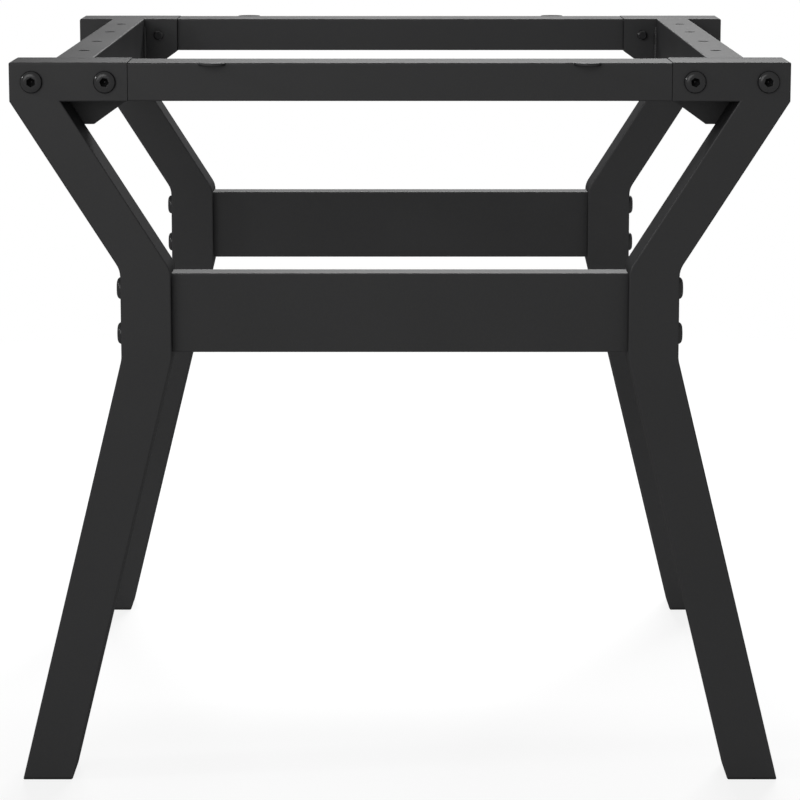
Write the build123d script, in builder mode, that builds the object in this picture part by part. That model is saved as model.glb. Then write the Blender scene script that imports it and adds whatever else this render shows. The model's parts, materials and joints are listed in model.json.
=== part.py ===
from build123d import *
import math
import os

# Steel base of a coffee table: two Y-shaped end frames joined by two side rails.
# X runs along a frame, Y from the front frame (negative) to the rear one, Z up from the floor.

# Size over the frames
base_width = 400.0
base_depth = 400.0
base_height = 380.0

# Hollow steel section of the legs
leg_depth = 32.0
leg_level_width = 26.2
leg_wall = 1.5
edge_radius = 0.8

# Outline of a leg: level stub, upper arm, upright waist, lower leg
stub_length = 60.5
stub_height = 20.0
waist_span = 289.2
waist_low = 226.0
waist_high = 272.8
bend_radius = 12.0

# Rail between the two stubs of a frame
rail_ease = 0.25
rail_wall = 1.5
seam_gap = 0.3

# Sleeve that lines the rail up with a stub
sleeve_wall = 1.5
sleeve_fit = 0.1
sleeve_reach = 40.0
sleeve_end_gap = 2.0

# Crossbar between the two waists of a frame
crossbar_height = 41.5
crossbar_depth = 16.0
crossbar_wall = 1.5
plug_length = 16.0
plug_fit = 0.1

# Side rail and the plates welded on its ends
side_rail_width = 20.0
side_rail_height = 34.5
side_rail_wall = 1.5
plate_thickness = 4.0
plate_corner_radius = 1.0

# Screw holes for the table top
inner_screw_spacing = 81.0
outer_screw_spacing = 226.0
screw_hole_diameter = 6.0
access_hole_diameter = 10.0

# Button head bolts
bolt_diameter = 6.0
bolt_length = 40.0
head_diameter = 11.5
head_height = 3.0
head_rim = 1.2
head_flat_diameter = 7.2
socket_width = 4.0
socket_depth = 2.0
bolt_clearance = 0.3
thread_clearance = 0.05
stub_bolt_spacing = 37.5
waist_bolt_spacing = 23.8

# Half-round tabs on the outer face of each rail
tab_radius = 7.0
tab_thickness = 1.6
tab_spacing = 192.0
tab_edge_chamfer = 0.4

# Plastic caps in the feet
cap_flange = 1.5
cap_edge_chamfer = 0.5
cap_plug_height = 16.0
cap_wall = 1.6
cap_fit = 0.15
cap_rib = 1.4

# Places worked out from the sizes above
half_width = base_width / 2
half_depth = base_depth / 2
seam_x = half_width - stub_length
stub_low = base_height - stub_height
stub_mid = base_height - stub_height / 2
waist_x = waist_span / 2
waist_mid = (waist_low + waist_high) / 2
foot_slope = (half_width - waist_x) / waist_low
leg_mid_y = half_depth - leg_depth / 2
side_rail_x = half_width - stub_length / 2
side_rail_low = base_height - side_rail_height
plate_face_y = half_depth - leg_depth - plate_thickness
bolt_hole_radius = bolt_diameter / 2 + bolt_clearance
thread_hole_radius = bolt_diameter / 2 + thread_clearance

SIDES = {"left": -1, "right": 1}
ENDS = {"front": -1, "rear": 1}


def frame_plane(end, inset=0.0):
    """Upright plane along a frame's outer face, or inset from it, with its normal pointing outwards."""
    return Plane(origin=(0, end * (half_depth - inset), 0), x_dir=(-end, 0, 0), z_dir=(0, end, 0))


def hand(side, end):
    """Sign of the frame plane's own X on the given side of the base."""
    return -end * side


def foot_x(height):
    """Distance from the middle of the base to a leg's outer edge near the floor."""
    return half_width - height * foot_slope


def save(piece, name):
    piece.label = name
    export_step(piece, f"parts/{name}.step")


def spaced_pair(spacing):
    """Two points one above the other, the spacing apart, about the middle of a sketch."""
    return [(0, -spacing / 2), (0, spacing / 2)]


def leg_corners(sign, overrun):
    """Corners of a leg's outline, run on past its two open ends by the overrun."""
    foot = cap_flange - overrun
    seam = seam_x - overrun
    inner_waist = waist_x - leg_level_width
    corners = [
        (foot_x(foot), foot),
        (waist_x, waist_low),
        (waist_x, waist_high),
        (half_width, stub_low),
        (half_width, base_height),
        (seam, base_height),
        (seam, stub_low),
        (half_width - leg_level_width, stub_low),
        (inner_waist, waist_high),
        (inner_waist, waist_low),
        (foot_x(foot) - leg_level_width, foot),
    ]
    return [(sign * x, z) for x, z in corners]


def stub_bolt_points(sign):
    """Centres of the two bolts through a stub, in the frame plane."""
    return [(sign * (side_rail_x + step * stub_bolt_spacing / 2), stub_mid) for step in (-1, 1)]


def waist_plane(side, end):
    """Plane on the outer face of a waist, at the middle of its depth and height."""
    return Plane(
        origin=(side * waist_x, end * leg_mid_y, waist_mid),
        x_dir=(0, side, 0),
        z_dir=(side, 0, 0),
    )


def make_leg(side, end):
    sign = hand(side, end)
    with BuildPart() as leg:
        with BuildSketch(frame_plane(end)) as outline:
            Polygon(*leg_corners(sign, 0), align=None)
            bends = outline.vertices().filter_by_position(
                Axis.Y, waist_low - bend_radius, waist_high + bend_radius
            )
            fillet(bends, bend_radius)
        extrude(amount=-leg_depth)
        front_face, back_face = leg.faces().filter_by(Axis.Y)
        open_ends = leg.edges().group_by(Axis.Z)[0]
        open_ends += leg.edges().filter_by(lambda e: abs(abs(e.center().X) - seam_x) < leg_wall)
        long_edges = [e for e in front_face.edges() + back_face.edges() if e not in open_ends]
        top_edges = leg.edges().filter_by(Axis.Y).group_by(Axis.Z)[-1]
        outer_corner = top_edges.sort_by(lambda e: abs(e.center().X))[-1]
        fillet(long_edges + [outer_corner], edge_radius)
        with BuildSketch(frame_plane(end, leg_wall)) as bore:
            Polygon(*leg_corners(sign, 2 * leg_wall), align=None)
            bends = bore.vertices().filter_by_position(
                Axis.Y, waist_low - bend_radius, waist_high + bend_radius
            )
            fillet(bends, bend_radius)
            offset(amount=-leg_wall, kind=Kind.INTERSECTION, mode=Mode.REPLACE)
        extrude(amount=-(leg_depth - 2 * leg_wall), mode=Mode.SUBTRACT)
        with BuildSketch(frame_plane(end)):
            with Locations(*stub_bolt_points(sign)):
                Circle(bolt_hole_radius)
        extrude(amount=-leg_depth, mode=Mode.SUBTRACT)
        with BuildSketch(waist_plane(side, end)):
            with Locations(*spaced_pair(waist_bolt_spacing)):
                Circle(bolt_hole_radius)
        extrude(amount=-leg_level_width, mode=Mode.SUBTRACT)
    return leg.part


def foot_corners(sign, low, high, inset):
    """Corners of the lower leg's strip between two heights, inset level on both sides."""
    corners = [
        (foot_x(low) - inset, low),
        (foot_x(high) - inset, high),
        (foot_x(high) - leg_level_width + inset, high),
        (foot_x(low) - leg_level_width + inset, low),
    ]
    return [(sign * x, z) for x, z in corners]


def make_foot_cap(side, end):
    """Plug with a thin flange that closes the open foot of a leg."""
    sign = hand(side, end)
    lean = math.atan(foot_slope)
    plug_inset = (leg_wall + cap_fit) / math.cos(lean)
    pocket_inset = plug_inset + cap_wall / math.cos(lean)
    plug_top = cap_flange + cap_plug_height
    plug_side = leg_wall + cap_fit
    plug_depth = leg_depth - 2 * plug_side
    pocket_depth = plug_depth - 2 * cap_wall
    with BuildPart() as cap:
        with BuildSketch(frame_plane(end)):
            Polygon(*foot_corners(sign, 0, cap_flange, 0), align=None)
        extrude(amount=-leg_depth)
        leaning = cap.edges().group_by(Axis.Z)[1]
        fillet(leaning, edge_radius)
        chamfer(cap.edges().group_by(Axis.Z)[0], cap_edge_chamfer)
        with BuildSketch(frame_plane(end, plug_side)):
            Polygon(*foot_corners(sign, cap_flange, plug_top, plug_inset), align=None)
        extrude(amount=-plug_depth)
        with BuildSketch(frame_plane(end, plug_side + cap_wall)):
            Polygon(*foot_corners(sign, cap_flange, plug_top, pocket_inset), align=None)
        extrude(amount=-pocket_depth, mode=Mode.SUBTRACT)
        with BuildSketch(frame_plane(end, (leg_depth - cap_rib) / 2)):
            Polygon(*foot_corners(sign, cap_flange, plug_top, pocket_inset), align=None)
        extrude(amount=-cap_rib)
    return cap.part


def make_top_rail(end):
    """Hollow rail between the stubs, a little slimmer than they are."""
    depth = leg_depth - 2 * rail_ease
    height = stub_height - 2 * rail_ease
    middle = Plane(origin=(0, end * leg_mid_y, stub_mid), x_dir=(0, 1, 0), z_dir=(1, 0, 0))
    with BuildPart() as rail:
        with BuildSketch(middle):
            RectangleRounded(depth, height, edge_radius)
            Rectangle(depth - 2 * rail_wall, height - 2 * rail_wall, mode=Mode.SUBTRACT)
        extrude(amount=seam_x - seam_gap, both=True)
    return rail.part


def make_rail_sleeve(side, end):
    """Short tube inside the rail end and the stub, drilled for the stub's two bolts."""
    depth = leg_depth - 2 * rail_ease - 2 * rail_wall - 2 * sleeve_fit
    height = stub_height - 2 * rail_ease - 2 * rail_wall - 2 * sleeve_fit
    start = seam_x - sleeve_reach
    length = half_width - leg_wall - sleeve_end_gap - start
    section = Plane(
        origin=(side * start, end * leg_mid_y, stub_mid), x_dir=(0, side, 0), z_dir=(side, 0, 0)
    )
    with BuildPart() as sleeve:
        with BuildSketch(section):
            Rectangle(depth, height)
            Rectangle(depth - 2 * sleeve_wall, height - 2 * sleeve_wall, mode=Mode.SUBTRACT)
        extrude(amount=length)
        with BuildSketch(frame_plane(end)):
            with Locations(*stub_bolt_points(hand(side, end))):
                Circle(bolt_hole_radius)
        extrude(amount=-leg_depth, mode=Mode.SUBTRACT)
    return sleeve.part


def make_crossbar(end):
    """Flat hollow bar between the inner faces of the two waists."""
    middle = Plane(origin=(0, end * leg_mid_y, waist_mid), x_dir=(0, 1, 0), z_dir=(1, 0, 0))
    with BuildPart() as bar:
        with BuildSketch(middle):
            RectangleRounded(crossbar_depth, crossbar_height, edge_radius)
            Rectangle(
                crossbar_depth - 2 * crossbar_wall,
                crossbar_height - 2 * crossbar_wall,
                mode=Mode.SUBTRACT,
            )
        extrude(amount=waist_x - leg_level_width, both=True)
    return bar.part


def make_crossbar_plug(side, end):
    """Steel block welded into a crossbar end, tapped for the waist's two bolts."""
    depth = crossbar_depth - 2 * crossbar_wall - 2 * plug_fit
    height = crossbar_height - 2 * crossbar_wall - 2 * plug_fit
    mouth = waist_plane(side, end).offset(-leg_level_width)
    with BuildPart() as plug:
        with BuildSketch(mouth):
            Rectangle(depth, height)
            with Locations(*spaced_pair(waist_bolt_spacing)):
                Circle(thread_hole_radius, mode=Mode.SUBTRACT)
        extrude(amount=-plug_length)
    return plug.part


def make_side_rail(side):
    """Hollow rail from the front frame to the rear one, with four screw holes."""
    centre = Plane(
        origin=(side * side_rail_x, 0, base_height - side_rail_height / 2),
        x_dir=(1, 0, 0),
        z_dir=(0, -1, 0),
    )
    top = Plane(origin=(side * side_rail_x, 0, base_height), x_dir=(1, 0, 0), z_dir=(0, 0, 1))
    with BuildPart() as rail:
        with BuildSketch(centre):
            RectangleRounded(side_rail_width, side_rail_height, edge_radius)
            Rectangle(
                side_rail_width - 2 * side_rail_wall,
                side_rail_height - 2 * side_rail_wall,
                mode=Mode.SUBTRACT,
            )
        extrude(amount=plate_face_y, both=True)
        for spacing in (inner_screw_spacing, outer_screw_spacing):
            with BuildSketch(top):
                with Locations(*spaced_pair(spacing)):
                    Circle(screw_hole_diameter / 2)
            extrude(amount=-side_rail_height / 2, mode=Mode.SUBTRACT)
            with BuildSketch(top.offset(-side_rail_height)):
                with Locations(*spaced_pair(spacing)):
                    Circle(access_hole_diameter / 2)
            extrude(amount=side_rail_height / 2, mode=Mode.SUBTRACT)
    return rail.part


def make_corner_plate(side, end):
    """Plate on the end of a side rail, as wide as the stub it is bolted to, tapering to the rail."""
    sign = hand(side, end)
    inner_foot = side_rail_x - side_rail_width / 2
    outer_foot = side_rail_x + side_rail_width / 2
    corners = [
        (seam_x, base_height),
        (half_width, base_height),
        (half_width, stub_low),
        (outer_foot, side_rail_low),
        (inner_foot, side_rail_low),
        (seam_x, stub_low),
    ]
    with BuildPart() as plate:
        with BuildSketch(frame_plane(end, leg_depth)) as face:
            Polygon(*[(sign * x, z) for x, z in corners], align=None)
            fillet(face.vertices(), plate_corner_radius)
            with Locations(*stub_bolt_points(sign)):
                Circle(thread_hole_radius, mode=Mode.SUBTRACT)
        extrude(amount=-plate_thickness)
    return plate.part


def make_tab(side, end):
    """Half-round tab, its straight edge on the rail's outer face and its top level with the stubs."""
    edge = Plane(
        origin=(side * tab_spacing / 2, end * (half_depth - rail_ease), base_height),
        x_dir=(-end, 0, 0),
        z_dir=(0, 0, 1),
    )
    with BuildPart() as tab:
        with BuildSketch(edge):
            with BuildLine():
                CenterArc((0, 0), tab_radius, 180, 180)
                Line((-tab_radius, 0), (tab_radius, 0))
            make_face()
        extrude(amount=-tab_thickness)
        curved = tab.edges().filter_by(GeomType.CIRCLE)
        chamfer(curved, tab_edge_chamfer)
    return tab.part


def make_bolt(place):
    """Button head bolt with a hexagon socket, its head on the plane and its shank behind it."""
    axis = Axis(place.origin, place.z_dir)
    profile = Plane(origin=place.origin, x_dir=place.x_dir, z_dir=-place.y_dir)
    shank = bolt_diameter / 2
    rim = head_diameter / 2
    flat = head_flat_diameter / 2
    with BuildPart() as bolt:
        with BuildSketch(profile):
            with BuildLine():
                Polyline(
                    (0, head_height),
                    (0, -bolt_length),
                    (shank, -bolt_length),
                    (shank, 0),
                    (rim, 0),
                    (rim, head_rim),
                    (flat, head_height),
                    close=True,
                )
            make_face()
        revolve(axis=axis)
        with BuildSketch(place.offset(head_height)):
            RegularPolygon(socket_width / 2, 6, major_radius=False)
        extrude(amount=-socket_depth, mode=Mode.SUBTRACT)
    return bolt.part


def stub_bolt_places(end):
    """Planes of the four bolt heads on a frame's outer face."""
    face = frame_plane(end)
    points = [point for side in SIDES.values() for point in stub_bolt_points(hand(side, end))]
    return [face.shift_origin(face.from_local_coords(Vector(x, z, 0))) for x, z in points]


def waist_bolt_places(end):
    """Planes of the four bolt heads on the outer sides of a frame's waists."""
    faces = [waist_plane(side, end) for side in SIDES.values()]
    points = spaced_pair(waist_bolt_spacing)
    return [face.shift_origin(face.from_local_coords(Vector(x, z, 0))) for face in faces for x, z in points]


def make_bolts(places):
    """One bolt on each of the planes, as separate solids."""
    bolts = [make_bolt(place) for place in places]
    with BuildPart() as group:
        add(bolts)
    return group.part


os.makedirs("parts", exist_ok=True)

for end_name, end in ENDS.items():
    save(make_top_rail(end), f"top_rail_{end_name}")
    save(make_crossbar(end), f"crossbar_{end_name}")
    save(make_bolts(stub_bolt_places(end)), f"stub_bolts_{end_name}")
    save(make_bolts(waist_bolt_places(end)), f"waist_bolts_{end_name}")
    for side_name, side in SIDES.items():
        corner_name = f"{end_name}_{side_name}"
        save(make_leg(side, end), f"leg_{corner_name}")
        save(make_foot_cap(side, end), f"foot_cap_{corner_name}")
        save(make_rail_sleeve(side, end), f"rail_sleeve_{corner_name}")
        save(make_crossbar_plug(side, end), f"crossbar_plug_{corner_name}")
        save(make_corner_plate(side, end), f"corner_plate_{corner_name}")
        save(make_tab(side, end), f"tab_{corner_name}")

for side_name, side in SIDES.items():
    save(make_side_rail(side), f"side_rail_{side_name}")
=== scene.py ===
import json
import math

import bmesh
import bpy
from mathutils import Matrix, Vector


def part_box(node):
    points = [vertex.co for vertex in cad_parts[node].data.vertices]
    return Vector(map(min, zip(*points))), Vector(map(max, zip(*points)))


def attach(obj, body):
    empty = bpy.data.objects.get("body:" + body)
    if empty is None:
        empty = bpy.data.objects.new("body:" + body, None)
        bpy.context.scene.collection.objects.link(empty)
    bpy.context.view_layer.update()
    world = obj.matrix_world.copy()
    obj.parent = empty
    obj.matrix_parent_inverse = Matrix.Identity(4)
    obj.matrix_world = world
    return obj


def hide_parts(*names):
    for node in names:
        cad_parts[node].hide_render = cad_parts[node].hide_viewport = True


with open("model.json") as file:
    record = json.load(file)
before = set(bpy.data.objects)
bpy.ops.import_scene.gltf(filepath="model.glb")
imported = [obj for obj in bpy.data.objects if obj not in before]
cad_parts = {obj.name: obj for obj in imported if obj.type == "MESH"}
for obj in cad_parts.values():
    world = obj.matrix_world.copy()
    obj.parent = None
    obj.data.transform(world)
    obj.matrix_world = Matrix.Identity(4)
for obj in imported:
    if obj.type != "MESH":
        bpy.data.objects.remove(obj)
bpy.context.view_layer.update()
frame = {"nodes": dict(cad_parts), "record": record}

SIDES = {"left": -1, "right": 1}
ENDS = {"front": -1, "rear": 1}
WHITE = (1.0, 1.0, 1.0, 1.0)

# Camera: in front of the base, about on its middle line, looking down at it
EYE = Vector((0.0014, -1.823, 0.501))
CAMERA_PITCH = math.radians(9.62)
CAMERA_SENSOR = 36.0
CAMERA_LENS = 142.77
CAMERA_SHIFT_X = -0.00325
CAMERA_SHIFT_Y = -0.050
CAMERA_NEAR = 0.05
CAMERA_FAR = 100.0

# Floor: its shadows show near the base and fade out between the two distances from its middle
FLOOR_SIZE = 60.0
FLOOR_COLOUR = 0.62
FLOOR_MOTTLE_SIZE = 0.4
FLOOR_MOTTLE_LIGHTER = 1.02
FLOOR_SHADOW_SHARE = 0.16
FLOOR_FADE_START = 0.55
FLOOR_FADE_END = 1.30

# Area lamps: place and point looked at, width, height, and power in watts
LAMPS = {
    "rear_softbox": {
        "place": (0.14, 1.55, 1.25),
        "target": (0.0, 0.0, 0.3),
        "width": 0.9,
        "height": 0.42,
        "power": 92.0,
    },
    "front_left_fill": {
        "place": (-0.9, -2.6, 1.25),
        "target": (0.0, 0.0, 0.2),
        "width": 1.6,
        "height": 1.6,
        "power": 29.0,
    },
    "left_accent": {
        "place": (-2.0, -0.5, 1.2),
        "target": (0.0, 0.0, 0.35),
        "width": 0.2,
        "height": 0.2,
        "power": 16.0,
    },
}
WORLD_LIGHT = 0.25

# Coats by material slot: linear colour and roughness, the share and roughness of the satin sheen over them,
# and the width and depth of the grain
COATS = {
    "powder_coat_black": {
        "name": "powder_coat",
        "colour": (0.014, 0.014, 0.0145),
        "roughness": 0.60,
        "satin": 0.017,
        "satin_roughness": 0.40,
        "grain": 0.0009,
        "grain_depth": 0.00003,
    },
    "bolt_black": {
        "name": "bolt_coat",
        "colour": (0.011, 0.011, 0.0115),
        "roughness": 0.50,
        "satin": 0.020,
        "satin_roughness": 0.20,
        "grain": 0.0006,
        "grain_depth": 0.00002,
    },
    "cap_plastic": {
        "name": "cap_plastic",
        "colour": (0.016, 0.016, 0.016),
        "roughness": 0.65,
        "satin": 0.008,
        "satin_roughness": 0.50,
        "grain": 0.0005,
        "grain_depth": 0.00004,
    },
}
COAT_SPECULAR = 0.0
GRAIN_DETAIL = 3.0
GRAIN_STRENGTH = 0.6
MOTTLE_SIZE = 0.06
MOTTLE_SHARE = 0.4
MOTTLE_LOW = 0.45
MOTTLE_HIGH = 0.95
COLOUR_SPREAD = 0.08
ROUGHNESS_SPREAD = 0.04
SATIN_ROUGHNESS_SPREAD = 0.03

# Most of a noise's values lie between these two
NOISE_LOW = 0.3
NOISE_HIGH = 0.7

# A turned shape starts from a circle of this radius, and each of its rings then gets its own
START_RADIUS = 0.003

# Edges and faces are put in order by at most this many of their vertices
RANKED_VERTICES = 3

# Button head bolts, in their own frame: the head on the plane at zero and the shank under it
BOLT_SEGMENTS = 48
BOLT_SMOOTH = math.radians(35)
BOLT_LENGTH = 0.040
SHANK_RADIUS = 0.003
HEAD_HEIGHT = 0.003
HEAD_RIM = 0.0010
HEAD_UNDERCUT = 0.0005
HEAD_FLAT_RADIUS = 0.0031
HEAD_STEPS = 7
SOCKET_APOTHEM = 0.0021
SOCKET_DEPTH = 0.0032
SOCKET_LIP = 0.00012
SOCKET_POINT_RADIUS = 0.0003
SOCKET_POINT_DEPTH = 0.0014
TIP_CHAMFER = 0.0006
THREAD_PITCH = 0.001
THREAD_DEPTH = 0.00055
THREAD_LENGTH = 0.012
THREAD_STEPS = 4
STUB_BOLT_SPACING = 0.0375
BOLT_TURN = math.radians(23)

# Half-round tabs, their straight edge on the rail
TAB_SEGMENTS = 96
TAB_SMOOTH = math.radians(40)
TAB_ROUND = 0.0006
TAB_ROUND_STEPS = 6
TAB_CUT_TOLERANCE = 0.000001

# Weld beads between a side rail and its corner plates
WELD_SEGMENTS = 12
WELD_SMOOTH = math.radians(60)
WELD_RADIUS = 0.0016
WELD_STEP = 0.0004
WELD_END_SHARE = 0.1
WELD_RIPPLE = 0.0016
WELD_RIPPLE_DEPTH = 0.16
WELD_LEAN = 0.5
WELD_TOP_GAP = 0.004
WELD_LOW_GAP = 0.003


class Shader:
    """A node tree with short calls for adding and joining its nodes."""

    def __init__(self, tree):
        self.tree = tree
        tree.nodes.clear()

    def add(self, kind, inputs=None, **settings):
        """Node with its settings, and a link or a plain value on each of the given inputs."""
        node = self.tree.nodes.new(kind)
        for name, value in settings.items():
            setattr(node, name, value)
        for name, value in (inputs or {}).items():
            if isinstance(value, bpy.types.NodeSocket):
                self.tree.links.new(value, node.inputs[name])
            else:
                node.inputs[name].default_value = value
        return node

    def combined(self, operation, first, second):
        """Result of a sum, product or the like of two numbers."""
        return self.add("ShaderNodeMath", {0: first, 1: second}, operation=operation).outputs[0]

    def noise(self, vector, size, detail=2.0):
        """Noise whose features are about the given size, in metres."""
        settings = {"Vector": vector, "Scale": 1.0 / size, "Detail": detail}
        return self.add("ShaderNodeTexNoise", settings).outputs["Fac"]

    def spread(self, value, low, high, start=NOISE_LOW, end=NOISE_HIGH):
        """The value's stretch from start to end spread over low to high."""
        limits = {"Value": value, "From Min": start, "From Max": end, "To Min": low, "To Max": high}
        return self.add("ShaderNodeMapRange", limits).outputs["Result"]

    def tint(self, factor, dark, light):
        """Colour between two tints by the factor."""
        node = self.add("ShaderNodeMix", {"Factor": factor}, data_type="RGBA")
        ends = [socket for socket in node.inputs if socket.type == "RGBA"]
        for socket, colour in zip(ends, (dark, light)):
            socket.default_value = (*colour, 1.0)
        return [socket for socket in node.outputs if socket.type == "RGBA"][0]

    def mixed(self, factor, first, second):
        """Two shaders mixed by the factor."""
        return self.add("ShaderNodeMixShader", {"Fac": factor, 1: first, 2: second}).outputs["Shader"]

    def finish(self, kind, surface):
        """Output node of a material or the world, showing the surface."""
        self.add(kind, {"Surface": surface})


def scaled(colour, factor):
    """Colour made darker or lighter by the factor."""
    return tuple(channel * factor for channel in colour)


def new_material(name):
    """Material with an empty node tree."""
    material = bpy.data.materials.new(name)
    material.use_nodes = True
    return material, Shader(material.node_tree)


def grained_coat(name, colour, roughness, satin, satin_roughness, grain, grain_depth):
    """Coat with a fine even grain in colour and height, under a satin share that doesn't grow at the rim."""
    material, shader = new_material(name)
    place = shader.add("ShaderNodeTexCoord").outputs["Object"]
    fine = shader.noise(place, grain, GRAIN_DETAIL)
    slow = shader.noise(place, MOTTLE_SIZE)
    mottle = shader.combined("ADD", fine, shader.combined("MULTIPLY", slow, MOTTLE_SHARE))
    tint = shader.tint(
        shader.spread(mottle, 0.0, 1.0, MOTTLE_LOW, MOTTLE_HIGH),
        scaled(colour, 1.0 - COLOUR_SPREAD),
        scaled(colour, 1.0 + COLOUR_SPREAD),
    )
    bump = shader.add(
        "ShaderNodeBump",
        {"Height": fine, "Strength": GRAIN_STRENGTH, "Distance": grain_depth},
    )
    coat = shader.add(
        "ShaderNodeBsdfPrincipled",
        {
            "Base Color": tint,
            "Roughness": shader.spread(slow, roughness - ROUGHNESS_SPREAD, roughness + ROUGHNESS_SPREAD),
            "Normal": bump.outputs["Normal"],
            "Specular IOR Level": COAT_SPECULAR,
        },
    )
    gloss = shader.add(
        "ShaderNodeBsdfGlossy",
        {
            "Color": WHITE,
            "Roughness": shader.spread(
                slow,
                satin_roughness - SATIN_ROUGHNESS_SPREAD,
                satin_roughness + SATIN_ROUGHNESS_SPREAD,
            ),
            "Normal": bump.outputs["Normal"],
        },
    )
    surface = shader.mixed(satin, coat.outputs["BSDF"], gloss.outputs["BSDF"])
    shader.finish("ShaderNodeOutputMaterial", surface)
    return material


def coat_nodes(finishes):
    """Gives each node of the model the finish of its material slot."""
    slots = {part["node"]: part["material_slot"] for part in frame["record"]["subparts"]}
    for name, node in frame["nodes"].items():
        node.data.materials.clear()
        node.data.materials.append(finishes[slots[name]])


def seen_directly(shader):
    """One where a ray comes from the camera, a reflection or a transparent surface, else zero."""
    path = shader.add("ShaderNodeLightPath")
    seen = path.outputs["Is Camera Ray"]
    for ray in ("Is Glossy Ray", "Is Transmission Ray"):
        seen = shader.combined("MAXIMUM", seen, path.outputs[ray])
    return seen


def floor_material():
    """Pale matte floor that shows white, with the shadows close to the base kept faintly."""
    material, shader = new_material("pale_floor")
    place = shader.add("ShaderNodeTexCoord").outputs["Object"]
    distance = shader.add("ShaderNodeVectorMath", {0: place}, operation="LENGTH").outputs["Value"]
    shadow_share = shader.spread(distance, FLOOR_SHADOW_SHARE, 0.0, FLOOR_FADE_START, FLOOR_FADE_END)
    pale = (FLOOR_COLOUR,) * 3
    tint = shader.tint(shader.noise(place, FLOOR_MOTTLE_SIZE), pale, scaled(pale, FLOOR_MOTTLE_LIGHTER))
    matte = shader.add("ShaderNodeBsdfDiffuse", {"Color": tint})
    white = shader.add("ShaderNodeEmission", {"Color": WHITE, "Strength": 1.0})
    white_share = shader.combined("SUBTRACT", 1.0, shadow_share)
    factor = shader.combined("MULTIPLY", seen_directly(shader), white_share)
    surface = shader.mixed(factor, matte.outputs["BSDF"], white.outputs["Emission"])
    shader.finish("ShaderNodeOutputMaterial", surface)
    return material


def as_mesh(name, shape):
    """Mesh of a bmesh, which is freed."""
    mesh = bpy.data.meshes.new(name)
    shape.to_mesh(mesh)
    shape.free()
    return mesh


def add_object(name, shape):
    """Object from a bmesh, at the origin, with its place in its mesh."""
    thing = bpy.data.objects.new(name, as_mesh(name, shape))
    bpy.context.scene.collection.objects.link(thing)
    return thing


def add_copy(shape, pattern, placing):
    """Adds a copy of the pattern mesh to the bmesh, moved by the matrix."""
    copy = pattern.copy()
    copy.transform(placing)
    shape.from_mesh(copy)
    bpy.data.meshes.remove(copy)


def make_camera():
    """Camera at the photograph's viewing angle."""
    lens = bpy.data.cameras.new("camera")
    lens.sensor_width = CAMERA_SENSOR
    lens.lens = CAMERA_LENS
    lens.shift_x = CAMERA_SHIFT_X
    lens.shift_y = CAMERA_SHIFT_Y
    lens.clip_start = CAMERA_NEAR
    lens.clip_end = CAMERA_FAR
    camera = bpy.data.objects.new("camera", lens)
    camera.location = EYE
    camera.rotation_euler = (math.radians(90) - CAMERA_PITCH, 0.0, 0.0)
    bpy.context.scene.collection.objects.link(camera)
    bpy.context.scene.camera = camera


def make_lamp(name, place, target, width, height, power):
    """Rectangular area lamp that faces its target."""
    lamp = bpy.data.lights.new(name, "AREA")
    lamp.shape = "RECTANGLE"
    lamp.size = width
    lamp.size_y = height
    lamp.energy = power
    holder = bpy.data.objects.new(name, lamp)
    holder.location = place
    holder.rotation_euler = (Vector(target) - Vector(place)).to_track_quat("-Z", "Y").to_euler()
    bpy.context.scene.collection.objects.link(holder)


def make_world():
    """White where it is seen directly, and a plain dim grey as light."""
    world = bpy.data.worlds.new("studio")
    world.use_nodes = True
    shader = Shader(world.node_tree)
    dim = shader.add("ShaderNodeBackground", {"Color": WHITE, "Strength": WORLD_LIGHT})
    white = shader.add("ShaderNodeBackground", {"Color": WHITE, "Strength": 1.0})
    surface = shader.mixed(seen_directly(shader), dim.outputs["Background"], white.outputs["Background"])
    shader.finish("ShaderNodeOutputWorld", surface)
    bpy.context.scene.world = world


def make_floor():
    """Wide floor under the base's feet."""
    shape = bmesh.new()
    bmesh.ops.create_grid(shape, x_segments=1, y_segments=1, size=FLOOR_SIZE / 2)
    floor = add_object("floor", shape)
    floor.data.materials.append(floor_material())


def set_ring(verts, radius, height):
    """Moves the vertices out to the radius at their own angle, and to the height."""
    for vert in verts:
        angle = math.atan2(vert.co.y, vert.co.x)
        reach = radius(angle) if callable(radius) else radius
        vert.co = (reach * math.cos(angle), reach * math.sin(angle), height)


def rank(part, count):
    """Number that sorts an edge or a face by its lowest vertices, in a shape with the count of vertices."""
    number = 0
    for index in sorted(vert.index for vert in part.verts)[:RANKED_VERTICES]:
        number = number * count + index
    return number


def put_in_order(shape):
    """Sorts the edges and faces by their vertices, because an extrusion leaves them in no fixed order."""
    shape.verts.index_update()
    count = len(shape.verts)
    for parts in (shape.edges, shape.faces):
        parts.sort(key=lambda part: rank(part, count))


def turned(segments, rings):
    """Closed shape through rings of (radius, height) about Z, where a radius may depend on the angle."""
    shape = bmesh.new()
    bmesh.ops.create_circle(shape, cap_ends=False, segments=segments, radius=START_RADIUS)
    first = list(shape.edges)
    set_ring(shape.verts, *rings[0])
    edges = first
    for radius, height in rings[1:]:
        made = bmesh.ops.extrude_edge_only(shape, edges=edges)["geom"]
        set_ring([part for part in made if isinstance(part, bmesh.types.BMVert)], radius, height)
        edges = [part for part in made if isinstance(part, bmesh.types.BMEdge) and part.is_boundary]
    for end in (first, edges):
        bmesh.ops.contextual_create(shape, geom=end)
    bmesh.ops.recalc_face_normals(shape, faces=shape.faces)
    put_in_order(shape)
    return shape


def smooth(shape, limit):
    """Smooth shading, broken where two faces meet at more than the limit."""
    for face in shape.faces:
        face.smooth = True
    for edge in shape.edges:
        edge.smooth = edge.calc_face_angle(0.0) < limit


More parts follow.
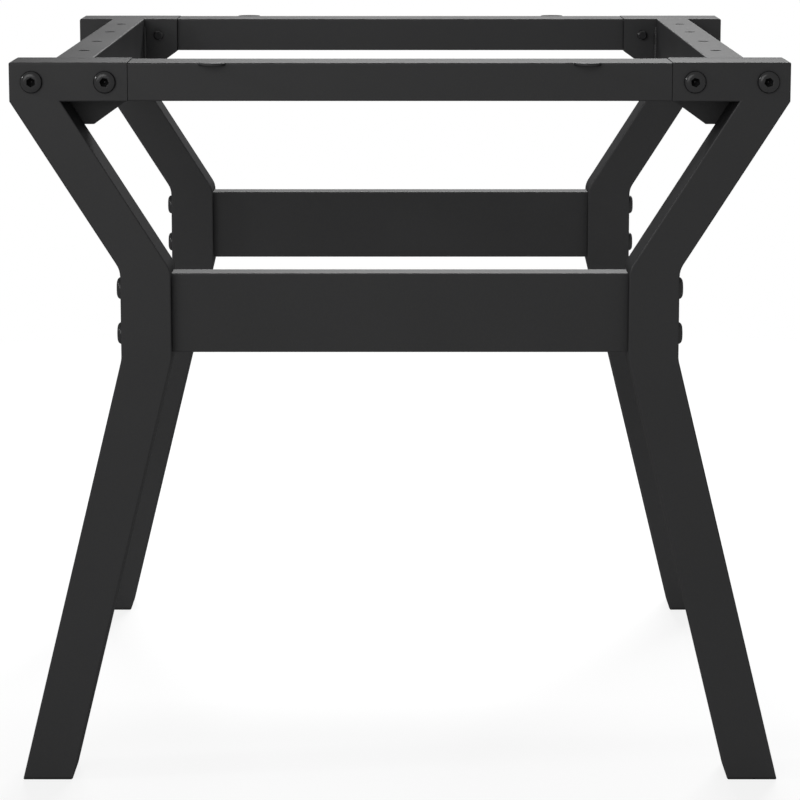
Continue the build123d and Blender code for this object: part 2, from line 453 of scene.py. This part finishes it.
def thread_radius(height):
    """Radius of the thread round the shank at a height, by the angle."""
    return lambda angle: SHANK_RADIUS - THREAD_DEPTH * abs(
        2.0 * ((height / THREAD_PITCH - angle / math.tau) % 1.0) - 1.0
    )


def socket_radius(apothem):
    """Radius of a hexagon by the angle."""
    sixth = math.tau / 6
    return lambda angle: apothem / math.cos((angle + sixth / 2) % sixth - sixth / 2)


def bolt_rings(head_radius):
    """Rings of a button head bolt from its tip, over thread, shank and head, to the point in its socket."""
    tip = -BOLT_LENGTH
    rings = [(SHANK_RADIUS - THREAD_DEPTH - TIP_CHAMFER / 2, tip)]
    for step in range(int(THREAD_LENGTH / THREAD_PITCH * THREAD_STEPS)):
        height = tip + TIP_CHAMFER + step * THREAD_PITCH / THREAD_STEPS
        rings.append((thread_radius(height), height))
    rings.append((SHANK_RADIUS, tip + THREAD_LENGTH + TIP_CHAMFER))
    rings.append((SHANK_RADIUS, 0.0))
    rings.append((head_radius - HEAD_UNDERCUT, 0.0))
    rings.append((head_radius, HEAD_UNDERCUT))
    for step in range(HEAD_STEPS + 1):
        rise = step / HEAD_STEPS * math.pi / 2
        radius = HEAD_FLAT_RADIUS + (head_radius - HEAD_FLAT_RADIUS) * math.cos(rise)
        rings.append((radius, HEAD_RIM + (HEAD_HEIGHT - HEAD_RIM) * math.sin(rise)))
    rings.append((socket_radius(SOCKET_APOTHEM + SOCKET_LIP), HEAD_HEIGHT))
    rings.append((socket_radius(SOCKET_APOTHEM), HEAD_HEIGHT - SOCKET_LIP))
    rings.append((socket_radius(SOCKET_APOTHEM), HEAD_HEIGHT - SOCKET_DEPTH))
    rings.append((SOCKET_POINT_RADIUS, HEAD_HEIGHT - SOCKET_DEPTH - SOCKET_POINT_DEPTH))
    return rings


def stub_bolt_places(end):
    """Centres of a frame's four stub bolts on the face that their heads bear on."""
    low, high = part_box(f"stub_bolts_{end}")
    radius = (high.z - low.z) / 2
    face = low.y + HEAD_HEIGHT if end == "front" else high.y - HEAD_HEIGHT
    outer = high.x - radius
    height = (low.z + high.z) / 2
    return [
        Vector((side * across, face, height))
        for side in SIDES.values()
        for across in (outer, outer - STUB_BOLT_SPACING)
    ]


def waist_bolt_places(end):
    """Centres of a frame's four waist bolts on the faces that their heads bear on."""
    low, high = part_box(f"waist_bolts_{end}")
    radius = (high.y - low.y) / 2
    face = high.x - HEAD_HEIGHT
    depth = (low.y + high.y) / 2
    return [
        Vector((side * face, depth, height))
        for side in SIDES.values()
        for height in (low.z + radius, high.z - radius)
    ]


def make_bolt_set(name, places, directions, finish, node):
    """Bolts with their heads on the given places, each turned a little further than the last."""
    low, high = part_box("stub_bolts_front")
    bolt = turned(BOLT_SEGMENTS, bolt_rings((high.z - low.z) / 2))
    smooth(bolt, BOLT_SMOOTH)
    pattern = as_mesh("bolt_pattern", bolt)
    shape = bmesh.new()
    for index, (place, outward) in enumerate(zip(places, directions)):
        stand = outward.to_track_quat("Z", "Y").to_matrix().to_4x4()
        turn = Matrix.Rotation(index * BOLT_TURN, 4, "Z")
        add_copy(shape, pattern, Matrix.Translation(place) @ stand @ turn)
    bpy.data.meshes.remove(pattern)
    bolts = add_object(name, shape)
    bolts.data.materials.append(finish)
    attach(bolts, "root")
    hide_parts(node)


def make_bolts(finish):
    """The stub bolts and the waist bolts of both frames."""
    for end, way in ENDS.items():
        out = [Vector((0.0, way, 0.0))] * 4
        make_bolt_set(f"stub_button_bolts_{end}", stub_bolt_places(end), out, finish, f"stub_bolts_{end}")
        places = waist_bolt_places(end)
        out = [Vector((math.copysign(1.0, place.x), 0.0, 0.0)) for place in places]
        make_bolt_set(f"waist_button_bolts_{end}", places, out, finish, f"waist_bolts_{end}")


def tab_rings(radius, thickness):
    """Rings of a disc with a rounded rim, from its underside to its top."""
    rings = []
    for centre, first in ((TAB_ROUND, -math.pi / 2), (thickness - TAB_ROUND, 0.0)):
        for step in range(TAB_ROUND_STEPS + 1):
            rise = first + step / TAB_ROUND_STEPS * math.pi / 2
            reach = radius - TAB_ROUND + TAB_ROUND * math.cos(rise)
            rings.append((reach, centre + TAB_ROUND * math.sin(rise)))
    return rings


def make_tab(side, end, finish):
    """Half a disc that lies against the rail's outer face."""
    low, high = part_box(f"tab_{end}_{side}")
    tab = turned(TAB_SEGMENTS, tab_rings((high.x - low.x) / 2, high.z - low.z))
    cut = bmesh.ops.bisect_plane(
        tab,
        geom=tab.verts[:] + tab.edges[:] + tab.faces[:],
        dist=TAB_CUT_TOLERANCE,
        plane_co=(0.0, 0.0, 0.0),
        plane_no=(0.0, -ENDS[end], 0.0),
        clear_outer=True,
    )
    rim = [part for part in cut["geom_cut"] if isinstance(part, bmesh.types.BMEdge)]
    bmesh.ops.contextual_create(tab, geom=rim)
    bmesh.ops.recalc_face_normals(tab, faces=tab.faces)
    smooth(tab, TAB_SMOOTH)
    against = high.y if end == "front" else low.y
    bmesh.ops.translate(tab, verts=tab.verts, vec=((low.x + high.x) / 2, against, low.z))
    piece = add_object(f"rounded_tab_{end}_{side}", tab)
    piece.data.materials.append(finish)
    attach(piece, "root")
    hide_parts(f"tab_{end}_{side}")


def weld_rings(length):
    """Rings of a weld bead: rounded ends, and a ripple for each stop of the torch."""
    rings = []
    steps = round(length / WELD_STEP)
    for step in range(steps + 1):
        along = step * length / steps
        to_end = min(along, length - along)
        ending = math.sqrt(1.0 - max(0.0, 1.0 - to_end / WELD_RADIUS) ** 2)
        ripple = abs(math.sin(math.pi * along / WELD_RIPPLE))
        thinning = 1.0 - WELD_RIPPLE_DEPTH * (1.0 - ripple)
        rings.append((WELD_RADIUS * max(ending, WELD_END_SHARE) * thinning, along))
    return rings


def make_weld(side, end, finish):
    """Two upright beads in the corners between a side rail and the inner face of its corner plate."""
    rail_low, rail_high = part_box(f"side_rail_{side}")
    plate_low, plate_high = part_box(f"corner_plate_{end}_{side}")
    corner = plate_high.y if end == "front" else plate_low.y
    start = rail_low.z + WELD_LOW_GAP
    length = rail_high.z - WELD_TOP_GAP - start
    shape = bmesh.new()
    for across, outward in ((rail_low.x, -1), (rail_high.x, 1)):
        bead = turned(WELD_SEGMENTS, weld_rings(length))
        for vert in bead.verts:
            vert.co.z -= WELD_LEAN * vert.co.x * outward
        smooth(bead, WELD_SMOOTH)
        pattern = as_mesh("weld_bead", bead)
        add_copy(shape, pattern, Matrix.Translation((across, corner, start)))
        bpy.data.meshes.remove(pattern)
    weld = add_object(f"weld_{end}_{side}", shape)
    weld.data.materials.append(finish)
    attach(weld, "root")


bpy.context.scene.view_settings.view_transform = "Standard"
make_camera()
for name, values in LAMPS.items():
    make_lamp(name, **values)
make_world()
make_floor()

finishes = {slot: grained_coat(**values) for slot, values in COATS.items()}
coat_nodes(finishes)
make_bolts(finishes["bolt_black"])
for side in SIDES:
    for end in ENDS:
        make_weld(side, end, finishes["powder_coat_black"])
        make_tab(side, end, finishes["powder_coat_black"])
